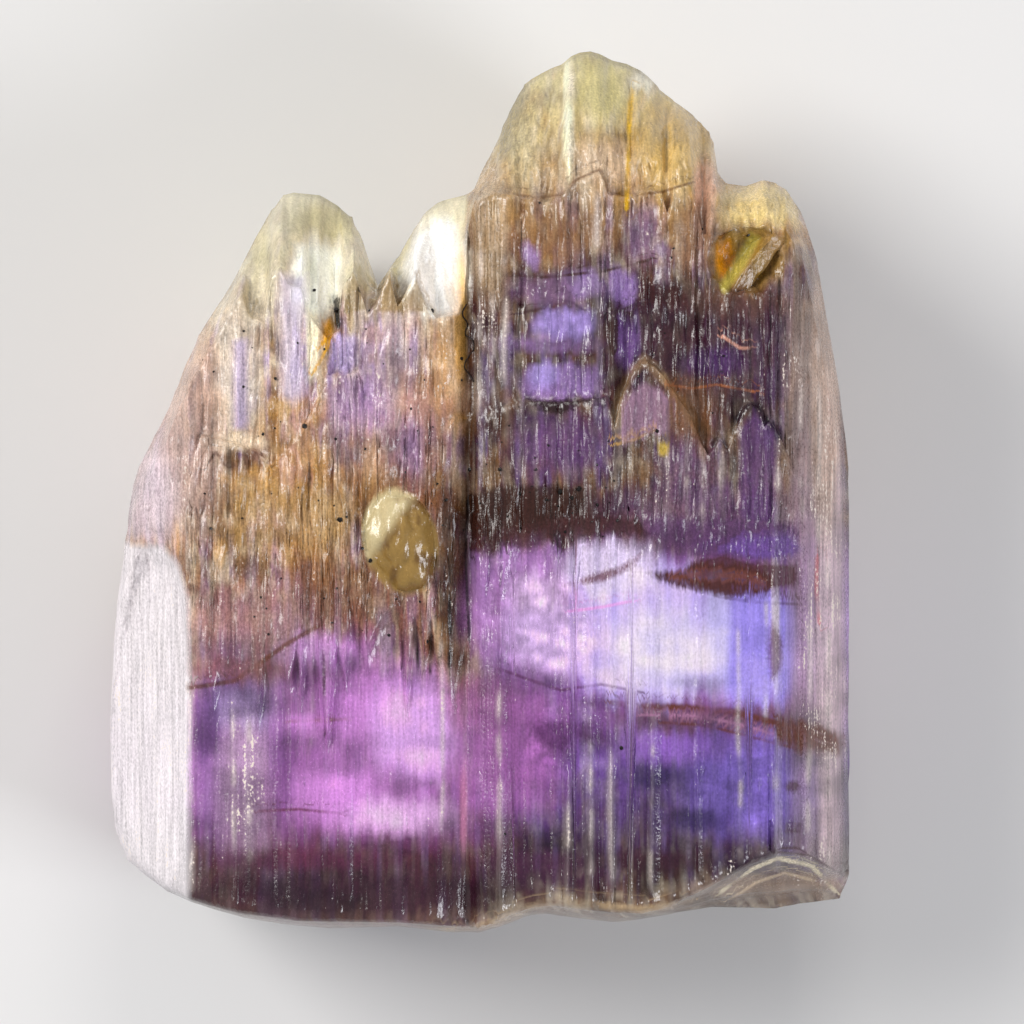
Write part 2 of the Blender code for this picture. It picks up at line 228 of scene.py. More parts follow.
# Relief in millimetres: rows are (pixel row, striation, etched hummocks, ripples)
relief = {
    "leftRows": [
        (190, 0.006, 0.01, 0.008), (285, 0.014, 0.036, 0.006), (330, 0.022, 0.06, 0), (420, 0.02, 0.07, 0),
        (500, 0.02, 0.095, 0), (600, 0.022, 0.07, 0), (655, 0.01, 0.014, 0), (860, 0.008, 0.006, 0),
        (930, 0.004, 0.01, 0.022),
    ],
    "rightRows": [
        (50, 0.006, 0.01, 0.006), (110, 0.01, 0.024, 0.014), (150, 0.014, 0.06, 0.01),
        (185, 0.016, 0.07, 0.004), (240, 0.018, 0.055, 0), (420, 0.018, 0.05, 0), (520, 0.022, 0.05, 0),
        (580, 0.008, 0.022, 0), (700, 0.008, 0.014, 0), (850, 0.012, 0.01, 0), (900, 0.003, 0.016, 0.024),
    ],
    "seamFill": (470, 610, 870, 9, 0.1),   # column, first and last row, half width, millimetres
    "sideStriation": 0.056,
    "backStriation": 0.02,
    # patterns as layeredNoise takes them, in pixels
    "striation": [(14, 170, 21, 3, 1.1), (7, 90, 31, 2, 0.9)],
    "hummocks": [(20, 30, 41, 3, 1)],
    "ripples": [(40, 30, 51, 2, 7)],
    "facets": [(15, 24, 61, 2, 1)],
    # (pixel column, first row, last row, height, width in pixels)
    "ridges": [
        (480, 205, 420, 0.04, 4), (492, 230, 400, 0.026, 3), (505, 200, 430, 0.045, 4),
        (570, 60, 178, 0.06, 5), (596, 196, 342, 0.03, 5), (500, 690, 890, 0.045, 4),
        (568, 770, 892, 0.035, 4), (590, 715, 885, 0.05, 4), (610, 750, 900, 0.05, 4),
        (650, 710, 880, 0.03, 3), (762, 560, 720, 0.03, 3), (774, 440, 848, 0.06, 5),
        (736, 600, 850, 0.025, 3), (806, 560, 860, 0.04, 4), (826, 520, 880, 0.04, 4),
        (798, 300, 520, 0.03, 3), (816, 340, 560, 0.035, 3), (236, 700, 840, 0.03, 3),
        (252, 720, 850, 0.04, 4), (442, 640, 820, 0.018, 3), (314, 640, 735, 0.03, 3),
        (193, 585, 885, 0.05, 4), (140, 560, 850, 0.035, 4), (158, 550, 880, 0.035, 4),
        (176, 570, 885, 0.035, 4), (128, 600, 840, 0.03, 3), (686, 440, 520, 0.03, 3),
        (664, 438, 520, 0.034, 3), (700, 450, 528, 0.03, 3), (720, 440, 530, 0.03, 3),
    ],
}


def setMode(name):
    bpy.ops.object.mode_set(mode=name)


def editAll():
    setMode("EDIT")
    bpy.ops.mesh.select_all(action="SELECT")


def makeActive(thing):
    bpy.ops.object.select_all(action="DESELECT")
    thing.select_set(True)
    bpy.context.view_layer.objects.active = thing


# Selects parts of one kind (vertices, edges or polygons) and nothing else
def selectOnly(mesh, kind, chosen):
    for name in ("vertices", "edges", "polygons"):
        parts = getattr(mesh, name)
        parts.foreach_set("select", chosen if name == kind else np.zeros(len(parts), bool))


def copySolid():
    makeActive(bpy.data.objects[surface["node"]])
    bpy.ops.object.duplicate()
    crystal = bpy.context.object
    crystal.name = "crystal"
    editAll()
    bpy.ops.mesh.remove_doubles(threshold=surface["mergeGap"])
    bpy.ops.mesh.select_mode(type="EDGE")
    setMode("OBJECT")
    return crystal


# The places ("co") or the normals ("normal") of all points of a mesh
def vectorsOf(mesh, kind):
    flat = np.empty(len(mesh.vertices) * 3, np.float32)
    mesh.vertices.foreach_get(kind, flat)
    return flat.reshape(-1, 3).astype(float)


def pixelsOf(points):
    return (
        points[:, 0] / photo["pixel"] + photo["middleX"],
        photo["middleY"] - points[:, 1] / photo["pixel"],
        points[:, 2] / photo["pixel"],
    )


def cutFine(crystal):
    mesh = crystal.data
    for turn in range(surface["passes"]):
        points = vectorsOf(mesh, "co")
        ends = np.empty(len(mesh.edges) * 2, np.int32)
        mesh.edges.foreach_get("vertices", ends)
        first, second = points[ends[0::2]], points[ends[1::2]]
        span = np.abs(first - second)
        onBack = np.maximum(first[:, 2], second[:, 2]) < surface["backHeight"]
        limit = np.array([surface["across"], surface["along"], surface["up"]])
        tooLong = (span > limit * np.where(onBack, surface["coarser"], 1.0)[:, None]).any(axis=1)
        if not tooLong.any():
            break
        selectOnly(mesh, "edges", tooLong)
        setMode("EDIT")
        bpy.ops.mesh.subdivide(number_cuts=1, ngon=False)
        setMode("OBJECT")
    editAll()
    bpy.ops.mesh.quads_convert_to_tris()
    setMode("OBJECT")


# Where the left block ends: (pixel row, column, half width of the change)
seam = [
    (50, 467, 4), (560, 467, 4), (640, 476, 14), (720, 500, 34), (860, 505, 40), (930, 480, 20),
]

# Steps of the solid that are rounded off: (pixel box, least height in millimetres, times smoothed)
softened = [
    ((196, 812, 520, 770), 6.2, 8), ((98, 204, 515, 860), 2.0, 30), ((440, 498, 610, 919), 2.5, 30),
]


# How much a place belongs to the right block
def rightShare(px, py):
    where = alongRows(py, seam)
    shifted = px - where[:, 0] + 8 * cloudNoise(px / 9, py / 40, 5)
    return smoothStep(shifted / where[:, 1], -1, 1)


# Values of the left and the right block, joined at the seam
def alongBlocks(py, right, table, leftName, rightName):
    return alongRows(py, table[leftName]) * (1 - right) + alongRows(py, table[rightName]) * right


# The pixel column of a ridge at each row
def ridgePath(column, py):
    return column + 5 * cloudNoise(py / 60, py * 0, column, 2)


# 1 between the first and the last row of a ridge, and fading out at both ends
def ridgeReach(py, top, bottom):
    return smoothStep(py, top - 8, top + 8) * (1 - smoothStep(py, bottom - 14, bottom + 14))


grain = {
    "middle": (402, 541),
    "halfSizes": (38, 53),
    "turn": -14,
    "colour": rgb(152, 118, 66),
    "dark": rgb(92, 62, 34),
    # colour of the upper-left side, painted light where it faces the lamp
    "paintedLitSide": rgb(224, 204, 154),
    "lumps": 0.07,              # millimetres
    "clearance": 1.12,          # how far from its middle the steps are smoothed
    "touch": (0.34, 0.2, 0.3, 0.05),      # as in the rows of finishAndGlints: see-through, roughness, painted glints, striation
}


# Distance from the middle of the small grain, which ends at 1
def grainReach(px, py):
    cx, cy = grain["middle"]
    lean = math.radians(grain["turn"])
    along = (px - cx) * math.cos(lean) + (py - cy) * math.sin(lean)
    across = -(px - cx) * math.sin(lean) + (py - cy) * math.cos(lean)
    return np.hypot(along / grain["halfSizes"][0], across / grain["halfSizes"][1])


def softenSteps(crystal):
    mesh = crystal.data
    px, py, pz = pixelsOf(vectorsOf(mesh, "co"))
    for (left, right, top, bottom), least, times in softened:
        chosen = (px > left) & (px < right) & (py > top) & (py < bottom)
        chosen &= pz * photo["pixel"] > least * mm
        chosen &= grainReach(px, py) > grain["clearance"]
        selectOnly(mesh, "vertices", chosen)
        setMode("EDIT")
        bpy.ops.mesh.select_mode(type="VERT")
        bpy.ops.mesh.vertices_smooth(factor=0.5, repeat=times)
        setMode("OBJECT")


def giveRelief(crystal):
    mesh = crystal.data
    points = vectorsOf(mesh, "co")
    normals = vectorsOf(mesh, "normal")
    px, py, pz = pixelsOf(points)
    right = rightShare(px, py)[:, None]
    amounts = alongBlocks(py, right, relief, "leftRows", "rightRows")
    facing = np.clip(normals[:, 2], 0, 1)
    front = smoothStep(normals[:, 2], 0.05, 0.55)
    side = smoothStep(np.abs(normals[:, 0]), 0.35, 0.8) * (1 - front)
    back = smoothStep(-normals[:, 2], 0.3, 0.8)
    # the striations of a side face run along Y too, and change with the height
    around = px + pz * np.abs(normals[:, 0]) * 1.2
    striation = layeredNoise(around, py, relief["striation"])
    hummocks = 0.35 - np.abs(layeredNoise(around, py, relief["hummocks"])) * 4
    ripples = np.sin(py / 2.6 + layeredNoise(px, py, relief["ripples"])) * 0.5
    lift = front * (amounts[:, 0] * striation * 2 + amounts[:, 1] * hummocks + amounts[:, 2] * ripples)
    for column, top, bottom, height, width in relief["ridges"]:
        reach = ridgeReach(py, top, bottom)
        beads = 0.7 + 0.9 * cloudNoise(py / 9, py * 0, column + 1, 2)
        lift += facing * height * 0.6 * np.exp(-((px - ridgePath(column, py)) / width) ** 2) * reach * beads
    column, top, bottom, reach, fill = relief["seamFill"]
    fill = fill * smoothStep(py, top, top + 70) * (1 - smoothStep(py, bottom - 20, bottom + 20))
    lift += front * fill * np.exp(-((px - column) / reach) ** 2)
    lift += side * relief["sideStriation"] * striation
    # the face that it lies on stays flat
    aboveFloor = points[:, 2] / mm
    lift += back * relief["backStriation"] * (striation - 0.6) * smoothStep(aboveFloor, 0.02, 0.3)
    onGrain = (1 - smoothStep(grainReach(px, py), 0.9, 1.1)) * front
    facets = np.abs(layeredNoise(px, py, relief["facets"])) * 4 - 0.5
    lift = lift * (1 - 0.8 * onGrain) + onGrain * grain["lumps"] * facets
    lift *= smoothStep(aboveFloor, 0.0, 0.15)
    mesh.vertices.foreach_set("co", (points + normals * (lift * mm)[:, None]).astype(np.float32).ravel())
    mesh.update()


# What colours the crystal. Rows are (pixel row, colour); patches are (red, green, blue, amount,
# centre column, centre row, half width, half height, softness)

paint = {
    "vivid": 1.1,
    "bright": 1.12,
    "leftRows": [
        (190, *rgb(222, 214, 182)), (285, *rgb(226, 214, 178)), (315, *rgb(190, 168, 140)),
        (400, *rgb(154, 124, 110)), (470, *rgb(130, 96, 82)), (530, *rgb(134, 98, 80)),
        (590, *rgb(124, 86, 72)), (640, *rgb(130, 84, 84)), (690, *rgb(148, 96, 148)),
        (780, *rgb(164, 100, 172)), (850, *rgb(70, 30, 52)), (890, *rgb(46, 18, 28)),
        (930, *rgb(116, 84, 76)),
    ],
    # (pixel column, how far the lower edge of the skin on the left block is moved down)
    "skinEdge": [
        (190, 16), (255, 4), (311, -28), (382, -16), (424, 4), (450, 36), (480, 50),
    ],
    "rightRows": [
        (50, *rgb(212, 201, 150)), (130, *rgb(190, 169, 120)), (185, *rgb(178, 147, 110)),
        (240, *rgb(102, 74, 62)), (290, *rgb(52, 24, 30)), (380, *rgb(44, 20, 32)), (450, *rgb(50, 28, 36)),
        (515, *rgb(60, 30, 28)), (560, *rgb(122, 82, 140)), (640, *rgb(144, 104, 178)),
        (700, *rgb(120, 76, 140)), (760, *rgb(98, 68, 138)), (840, *rgb(46, 24, 50)),
        (880, *rgb(40, 18, 28)), (930, *rgb(140, 112, 92)),
    ],
    # colours that follow the growth columns: (colour, column width, column length, seed)
    "columns": [
        (rgb(222, 210, 190), 5, 90, 301), (rgb(150, 128, 190), 9, 90, 311),
        (rgb(192, 146, 80), 9, 70, 321), (rgb(60, 38, 32), 6, 50, 331),
        (rgb(226, 208, 178), 8, 11, 341), (rgb(84, 52, 36), 11, 14, 351), (rgb(186, 138, 70), 17, 24, 361),
    ],
    # (pixel row, how much of each of them)
    "leftColumns": [
        (190, 0.15, 0, 0, 0.04, 0.1, 0, 0), (285, 0.45, 0.2, 0.08, 0.2, 0.5, 0.4, 0.2),
        (340, 0.55, 0.65, 0.16, 0.3, 0.5, 0.55, 0.35), (420, 0.4, 0.6, 0.24, 0.3, 0.45, 0.6, 0.5),
        (500, 0.3, 0.35, 0.3, 0.35, 0.45, 0.7, 0.55), (600, 0.4, 0.3, 0.14, 0.45, 0.4, 0.6, 0.25),
        (645, 0.3, 0.35, 0.1, 0.4, 0.25, 0.3, 0.1), (700, 0.08, 0.2, 0.02, 0.22, 0.04, 0.15, 0),
        (870, 0.03, 0.1, 0, 0.25, 0.04, 0.25, 0),
    ],
    "rightColumns": [
        (50, 0.35, 0, 0.08, 0.14, 0.2, 0.15, 0.15), (180, 0.35, 0, 0.12, 0.25, 0.4, 0.4, 0.4),
        (225, 0.3, 0.3, 0.2, 0.35, 0.4, 0.55, 0.4), (300, 0.12, 0.2, 0, 0.3, 0.14, 0.45, 0.05),
        (430, 0.1, 0.22, 0.03, 0.25, 0.12, 0.45, 0.08), (520, 0.18, 0.15, 0.08, 0.4, 0.16, 0.6, 0.22),
        (560, 0.08, 0.2, 0, 0.12, 0.08, 0.1, 0), (860, 0.05, 0.15, 0, 0.25, 0.04, 0.2, 0),
        (900, 0.4, 0, 0.05, 0.3, 0.4, 0.3, 0.1),
    ],
    # (centre, half width and height, amount) of places with crumpled fractures
    "crumpled": [
        ((538, 622), (70, 74), 0.6), ((560, 735), (50, 40), 0.8), ((560, 330), (60, 80), 0.5),
        ((400, 660), (70, 30), 0.5), ((720, 790), (80, 60), 0.4),
    ],
    # pale colour laid along the ridges as a painted highlight, and its share
    "ridgeHighlightColour": (rgb(222, 208, 200), 0.5),
    # patterns as layeredNoise takes them, in pixels
    "skinWaves": [(7, 90, 101, 3, 22)],
    "wisps": [(50, 20, 141, 4, 1)],
    "shades": [(9, 60, 151, 3, 0.4)],
    "teethAcross": [(26, 60, 61, 4, 10), (5, 70, 71, 2, 5)],
    "teethAlong": [(6, 80, 81, 3, 26), (20, 20, 91, 4, 12)],
    "patches": [
        # tips of the left block
        (190, 178, 128, 0.6, 264, 262, 12, 40, 0.8), (214, 200, 140, 0.6, 330, 222, 34, 18, 0.9),
        (255, 251, 236, 1, 318, 282, 24, 38, 0.6), (255, 253, 240, 0.97, 438, 272, 30, 46, 0.6),
        (206, 194, 140, 0.7, 402, 262, 10, 36, 0.6), (140, 112, 78, 0.6, 392, 300, 22, 18, 0.5),
        # stains and shelves below them
        (250, 240, 206, 0.8, 314, 320, 6, 66, 0.4), (240, 228, 200, 0.7, 262, 304, 16, 26, 0.8),
        (232, 220, 206, 0.6, 240, 370, 24, 60, 0.9), (170, 146, 168, 0.5, 395, 350, 30, 34, 0.9),
        (158, 130, 184, 0.6, 362, 404, 30, 30, 0.9), (120, 84, 60, 0.6, 430, 440, 24, 50, 0.9),
        (150, 124, 180, 0.6, 412, 460, 12, 34, 0.9), (196, 186, 214, 0.55, 170, 470, 22, 56, 0.9),
        (212, 172, 96, 0.6, 372, 462, 9, 32, 0.8), (206, 156, 72, 0.8, 461, 320, 6, 70, 0.6),
        (178, 130, 80, 0.6, 446, 366, 18, 56, 0.9), (184, 138, 78, 0.6, 300, 456, 26, 58, 0.9),
        (150, 116, 134, 0.45, 385, 430, 50, 50, 0.9), (226, 204, 176, 0.85, 238, 442, 30, 9, 0.4),
        (186, 158, 146, 0.8, 190, 430, 34, 100, 0.8), (204, 188, 196, 0.8, 150, 500, 26, 44, 0.7),
        (112, 72, 44, 0.7, 400, 500, 60, 30, 0.9), (112, 74, 52, 0.7, 340, 590, 60, 30, 0.9),
        (186, 150, 100, 0.55, 262, 520, 36, 40, 0.9), (190, 156, 110, 0.6, 330, 520, 26, 30, 0.9),
        (52, 28, 20, 0.9, 455, 575, 18, 84, 0.7), (150, 110, 112, 0.7, 250, 620, 60, 34, 0.9),
        # lower half of the left block: its bright magenta-lilac is painted glow of light passing through
        # the crystal, over the crystal's violet
        (198, 128, 206, 0.8, 375, 712, 76, 40, 0.9), (232, 174, 250, 0.9, 416, 728, 38, 46, 0.8),
        (204, 132, 212, 0.8, 350, 795, 66, 30, 0.9), (240, 184, 244, 0.75, 404, 812, 50, 16, 0.9),
        (132, 92, 150, 0.75, 232, 745, 38, 90, 0.7), (158, 138, 190, 0.6, 240, 706, 30, 20, 0.9),
        (176, 150, 162, 0.45, 246, 780, 26, 66, 0.9), (226, 160, 240, 0.6, 330, 650, 40, 16, 0.9),
        (86, 54, 106, 0.75, 210, 722, 12, 34, 0.6), (104, 60, 120, 0.6, 285, 765, 12, 60, 0.9),
        (124, 76, 56, 0.6, 240, 668, 50, 12, 0.9), (40, 16, 30, 0.85, 370, 892, 150, 22, 0.7),
        # the thin pink streak at column 464 is a painted highlight
        (84, 36, 60, 0.7, 300, 856, 70, 10, 0.9), (226, 136, 176, 0.65, 464, 803, 3.5, 34, 0.9),
        # dome of the right block
        (126, 112, 70, 0.8, 512, 118, 18, 40, 0.8), (204, 188, 146, 0.5, 524, 160, 14, 34, 0.8),
        (255, 246, 206, 0.85, 568, 118, 5, 62, 0.4), (206, 192, 122, 0.7, 602, 92, 26, 30, 0.8),
        (222, 190, 160, 0.6, 602, 166, 26, 20, 0.7), (204, 166, 96, 0.65, 672, 150, 34, 56, 0.7),
        (255, 248, 226, 0.85, 642, 81, 12, 9, 0.5), (128, 92, 60, 0.75, 556, 236, 48, 26, 0.9),
        (178, 152, 118, 0.6, 490, 240, 16, 56, 0.9), (214, 168, 150, 0.7, 704, 196, 12, 34, 0.6),
        (150, 112, 84, 0.7, 692, 240, 18, 34, 0.9), (214, 190, 128, 0.8, 757, 208, 40, 22, 0.6),
        (144, 112, 56, 0.8, 748, 262, 36, 34, 0.4), (198, 124, 30, 0.85, 722, 258, 9, 18, 0.5),
        (120, 86, 62, 0.75, 735, 306, 44, 14, 0.8),
        # around the middle
        (48, 24, 38, 0.75, 650, 340, 60, 50, 0.8), (48, 20, 20, 0.9, 662, 297, 22, 12, 0.6),
        (54, 28, 42, 0.75, 740, 350, 46, 60, 0.8), (76, 48, 96, 0.65, 712, 364, 30, 14, 0.8),
        (88, 58, 104, 0.7, 560, 445, 44, 30, 0.9), (44, 20, 16, 0.9, 550, 510, 88, 20, 0.8),
        (116, 80, 56, 0.6, 690, 415, 26, 34, 0.9), (86, 60, 92, 0.7, 684, 470, 28, 30, 0.8),
        (64, 38, 60, 0.75, 700, 540, 90, 14, 0.8), (86, 60, 92, 0.7, 696, 508, 84, 24, 0.9),
        (104, 72, 150, 0.7, 735, 548, 36, 10, 0.8), (122, 94, 136, 0.6, 640, 236, 16, 30, 0.9),
        (140, 114, 170, 0.7, 530, 258, 9, 11, 0.7), (122, 92, 126, 0.7, 556, 292, 42, 13, 0.7),
        (146, 118, 172, 0.75, 586, 288, 16, 12, 0.6), (144, 114, 176, 0.75, 622, 288, 14, 18, 0.5),
        (168, 144, 216, 0.9, 564, 326, 30, 14, 0.5), (128, 98, 146, 0.7, 548, 346, 44, 8, 0.8),
        (142, 112, 168, 0.85, 560, 384, 38, 17, 0.5), (176, 154, 226, 0.8, 543, 376, 14, 11, 0.7),
        (110, 80, 138, 0.7, 626, 342, 12, 26, 0.6), (154, 132, 122, 0.6, 798, 400, 18, 110, 0.9),
        # big window: its bright lavender-white is painted glow of light passing through the crystal, over
        # the crystal's violet
        (182, 130, 196, 0.9, 528, 610, 56, 60, 0.6), (202, 180, 255, 0.97, 645, 632, 76, 66, 0.35),
        (206, 174, 226, 0.85, 552, 632, 46, 36, 0.7), (224, 212, 255, 0.85, 664, 648, 48, 38, 0.9),
        (232, 214, 250, 0.9, 606, 568, 44, 26, 0.6), (156, 140, 240, 0.95, 756, 642, 40, 60, 0.35),
        (206, 196, 255, 0.8, 716, 632, 12, 54, 0.8), (226, 190, 236, 0.7, 536, 590, 26, 18, 0.9),
        # the two thin pale lines at columns 772 and 776 are a painted highlight along the edge
        (212, 196, 210, 0.7, 772, 604, 4, 84, 0.6), (196, 178, 196, 0.6, 776, 780, 3.5, 70, 0.7),
        # below the window
        (88, 52, 58, 0.7, 724, 716, 104, 13, 0.9), (130, 84, 112, 0.7, 480, 700, 40, 26, 0.9),
        (146, 86, 148, 0.8, 515, 745, 48, 60, 0.8), (118, 96, 190, 0.8, 745, 780, 60, 46, 0.8),
        (130, 90, 180, 0.6, 670, 745, 50, 14, 0.9), (36, 26, 66, 0.8, 650, 772, 28, 12, 0.9),
        (40, 28, 70, 0.75, 700, 815, 34, 10, 0.9), (52, 22, 34, 0.8, 650, 858, 50, 11, 0.8),
        (58, 28, 50, 0.75, 540, 868, 54, 20, 0.8),
        # frosted right side and the broken foot
        (180, 158, 162, 0.85, 828, 640, 17, 230, 0.6), (150, 124, 140, 0.7, 800, 650, 14, 200, 0.9),
        (176, 150, 134, 0.8, 824, 390, 15, 140, 0.5), (160, 134, 114, 0.8, 765, 886, 74, 12, 0.7),
    ],
    # crisp shapes, the later over the earlier: (colour, amount, softness, outline in pixels)
    "shapes": [
        ((58, 32, 32), 0.8, 9, [(470, 522), (520, 516), (580, 512), (634, 518), (652, 537), (640, 536),
            (604, 534), (580, 540), (562, 551), (548, 540), (530, 552), (508, 546), (490, 556),
            (470, 548)]),
        ((80, 54, 86), 0.7, 12, [(640, 514), (700, 518), (796, 524), (796, 556), (760, 560), (720, 552),
            (694, 556), (668, 545), (646, 537)]),
        ((96, 70, 132), 0.8, 8, [(716, 552), (740, 536), (786, 534), (798, 548), (786, 556), (748, 558)]),
        ((84, 44, 26), 0.7, 12, [(770, 716), (812, 722), (838, 734), (838, 752), (800, 750), (775, 740)]),
        ((66, 34, 30), 0.9, 10, [(648, 573), (680, 570), (697, 558), (720, 551), (748, 560), (796, 562),
            (796, 586), (757, 592), (725, 595), (692, 590), (664, 582)]),
        ((92, 46, 52), 0.85, 5, [(562, 585), (592, 573), (618, 566), (641, 552), (632, 567), (602, 581)]),
        ((48, 26, 20), 0.85, 6, [(466, 500), (500, 486), (560, 486), (586, 490), (580, 508), (540, 522),
            (500, 532), (472, 542)]),
        ((36, 20, 20), 0.9, 4, [(527, 400), (552, 402), (606, 399), (604, 408), (584, 406), (560, 416),
            (536, 411)]),
        ((66, 32, 70), 0.7, 9, [(530, 722), (562, 716), (600, 722), (612, 740), (574, 738), (560, 752),
            (540, 740)]),
        ((60, 34, 30), 0.8, 4, [(782, 778), (797, 778), (797, 790), (782, 790)]),
        ((60, 34, 30), 0.8, 4, [(782, 820), (797, 820), (797, 829), (782, 829)]),
        ((84, 50, 60), 0.75, 5, [(768, 618), (780, 640), (778, 668), (768, 680), (764, 650)]),
        # these end in growth columns
        # the left face, laid near-white: painted light of a face that catches the lamp
        ((212, 206, 210), 0.95, 8, [(104, 535), (135, 545), (165, 546), (182, 565), (192, 600), (193, 720),
            (192, 902), (104, 862)]),
        ((255, 254, 244), 0.8, 9, [(396, 304), (402, 268), (416, 240), (436, 226), (456, 226), (459, 314),
            (432, 318), (424, 300), (414, 284)]),
        ((255, 250, 230), 0.6, 9, [(296, 246), (334, 250), (337, 300), (322, 318), (310, 308), (302, 280)]),
        ((198, 186, 208), 0.68, 12, [(280, 276), (307, 280), (308, 392), (296, 406), (284, 396)]),
        ((182, 166, 204), 0.65, 7, [(236, 342), (250, 340), (250, 428), (237, 430)]),
        ((186, 168, 210), 0.7, 6, [(333, 338), (360, 337), (359, 366), (348, 375), (335, 370)]),
        ((150, 124, 88), 0.8, 4, [(379, 314), (392, 276), (407, 314)]),
        ((140, 116, 84), 0.8, 4, [(405, 314), (418, 278), (431, 314)]),
        ((150, 130, 96), 0.75, 3, [(344, 316), (355, 274), (368, 312)]),
        ((52, 34, 30), 0.85, 2, [(608, 320), (617, 322), (617, 352), (611, 360), (607, 345)]),
        ((26, 24, 20), 0.9, 2, [(335, 300), (341, 298), (342, 330), (336, 331)]),
        ((214, 150, 40), 0.85, 4, [(324, 322), (334, 320), (335, 340), (326, 344)]),
        ((140, 110, 130), 0.8, 6, [(620, 402), (643, 384), (666, 398), (666, 436), (650, 434), (620, 446)]),
        ((150, 122, 92), 0.65, 8, [(610, 430), (616, 396), (630, 368), (642, 357), (654, 366), (670, 386),
            (664, 390), (652, 374), (642, 367), (632, 378), (622, 400), (617, 428)]),
        ((130, 98, 68), 0.55, 9, [(666, 382), (684, 400), (698, 420), (708, 432), (704, 462), (696, 456),
            (694, 434), (682, 414), (668, 394)]),
        ((34, 20, 30), 0.85, 5, [(728, 424), (742, 404), (756, 403), (758, 410), (744, 413), (734, 426)]),
        ((34, 20, 34), 0.85, 5, [(754, 428), (765, 417), (780, 440), (774, 442), (765, 427)]),
        ((82, 56, 96), 0.8, 6, [(736, 430), (752, 414), (772, 436), (772, 524), (738, 520)]),
        ((190, 160, 60), 0.75, 4, [(656, 444), (667, 443), (666, 457), (657, 456)]),
        ((196, 184, 96), 0.8, 6, [(748, 236), (757, 240), (742, 270), (722, 296), (716, 290), (732, 264)]),
    ],
    # (colour, amount, width, places along the line)
    "lines": [
        ((88, 46, 34), 0.85, 6, [(612, 700), (630, 703), (680, 705), (730, 709), (780, 722), (838, 742)]),
        ((156, 108, 140), 0.75, 3, [(640, 712), (690, 713), (730, 720), (770, 731)]),
        ((84, 46, 44), 0.8, 3, [(660, 720), (700, 722), (740, 732), (790, 745)]),
        ((60, 30, 30), 0.6, 3, [(662, 578), (690, 588), (718, 596), (752, 601), (792, 603)]),
        ((112, 60, 36), 0.5, 5, [(672, 577), (700, 573), (745, 576), (758, 583)]),
        ((92, 62, 40), 0.75, 3, [(513, 198), (538, 201), (563, 198), (575, 184), (600, 173), (608, 198),
            (636, 198), (659, 196), (687, 187)]),
        ((216, 168, 50), 0.85, 5, [(631, 92), (628, 130), (627, 170), (625, 212)]),
        ((60, 36, 30), 0.9, 3, [(519, 278), (547, 280), (575, 277), (603, 274), (648, 263)]),
        ((60, 36, 40), 0.85, 3, [(519, 316), (541, 311)]),
        ((50, 30, 44), 0.85, 3, [(608, 316), (622, 312), (639, 305)]),
        ((50, 30, 50), 0.8, 3, [(558, 302), (572, 305), (581, 311)]),
        ((160, 96, 60), 0.6, 2.5, [(664, 386), (690, 390), (714, 386), (751, 393)]),
        ((220, 160, 140), 0.75, 3, [(721, 339), (737, 350), (746, 350)]),
        ((186, 144, 84), 0.85, 3, [(616, 445), (634, 440), (650, 432)]),
        ((22, 12, 14), 0.9, 3, [(501, 545), (502, 565), (500, 585)]),
        ((22, 12, 14), 0.85, 2.5, [(556, 535), (557, 550)]),
        ((226, 150, 216), 0.7, 3, [(570, 610), (600, 606), (630, 600)]),
        ((76, 40, 70), 0.7, 3, [(500, 667), (530, 678), (560, 688), (600, 682), (640, 690)]),
        ((90, 54, 38), 0.8, 5, [(194, 686), (238, 679), (262, 662), (290, 642), (318, 626)]),
        ((120, 80, 46), 0.85, 3.5, [(295, 719), (345, 717)]),
        ((90, 40, 50), 0.75, 3, [(262, 808), (300, 806), (340, 810)]),
        ((186, 158, 124), 0.8, 8, [(430, 929), (474, 925), (505, 914), (532, 902), (560, 896), (600, 901),
            (640, 905), (690, 898)]),
        ((236, 220, 186), 0.85, 4, [(720, 892), (750, 866), (775, 855), (810, 864), (836, 892)]),
        ((206, 180, 150), 0.8, 3, [(730, 900), (756, 882), (784, 872), (812, 880)]),
        ((60, 36, 40), 0.7, 2.5, [(706, 890), (740, 862), (774, 848), (806, 852), (838, 872)]),
        ((204, 150, 30), 0.85, 3.5, [(316, 374), (330, 348)]),
        ((70, 44, 34), 0.8, 3, [(212, 464), (219, 452), (227, 464)]),
        ((176, 96, 100), 0.75, 4, [(815, 556), (814, 590), (817, 622)]),
        ((24, 14, 14), 0.8, 3, [(468, 500), (466, 560), (470, 640)]),
        ((24, 14, 14), 0.9, 4, [(450, 590), (451, 640), (450, 668)]),
        ((28, 16, 16), 0.9, 3, [(432, 620), (431, 672)]), ((28, 16, 16), 0.9, 3, [(418, 636), (419, 668)]),
        ((36, 20, 16), 0.85, 3, [(404, 640), (403, 668)]),
        ((40, 24, 18), 0.85, 3, [(326, 640), (327, 734)]),
    ],
}
